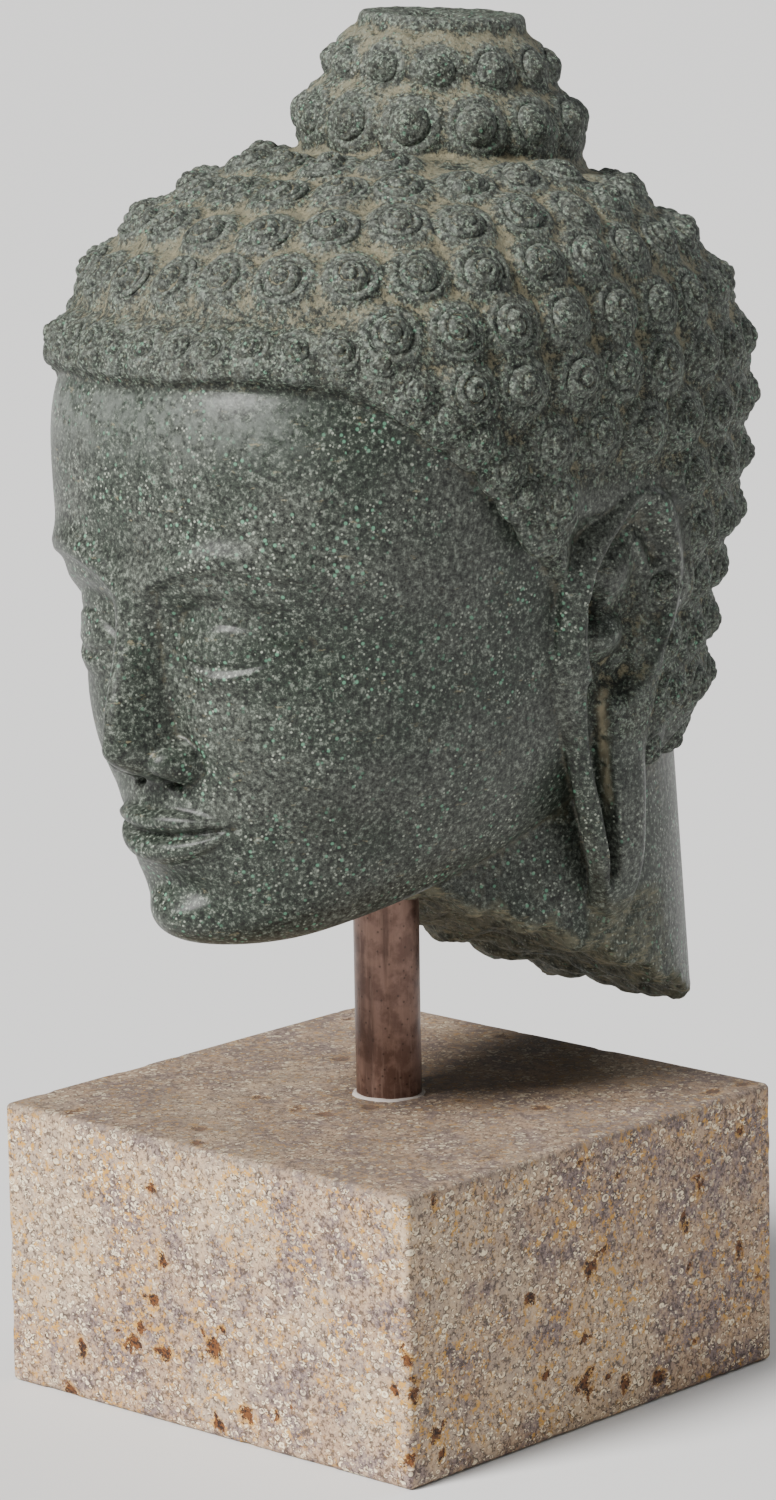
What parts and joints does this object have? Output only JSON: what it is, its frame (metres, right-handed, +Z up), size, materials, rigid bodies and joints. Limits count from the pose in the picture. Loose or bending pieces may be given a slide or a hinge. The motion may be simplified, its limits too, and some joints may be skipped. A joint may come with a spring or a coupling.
{
  "type": "carved stone buddha head on stand",
  "caption": "Carved stone buddha head with snail-shell curls and topknot, held by a bronze rod in a limestone block.",
  "frame": {"origin": "centre of the block's underside, on the rod's axis", "axes": "+Z up along the rod, -Y the way the block's lighter side and, within five degrees, the face look towards, +X the head's own left, where the face's left ear is"},
  "size_m": [0.2033, 0.2533, 0.4525],
  "materials": {
    "dark green stone": "satin",
    "brown bronze": "satin",
    "shell limestone": "matte"
  },
  "bodies": {
    "root": {"head": "dark green stone", "rod": "brown bronze", "block": "shell limestone"}
  },
  "joints": []
}
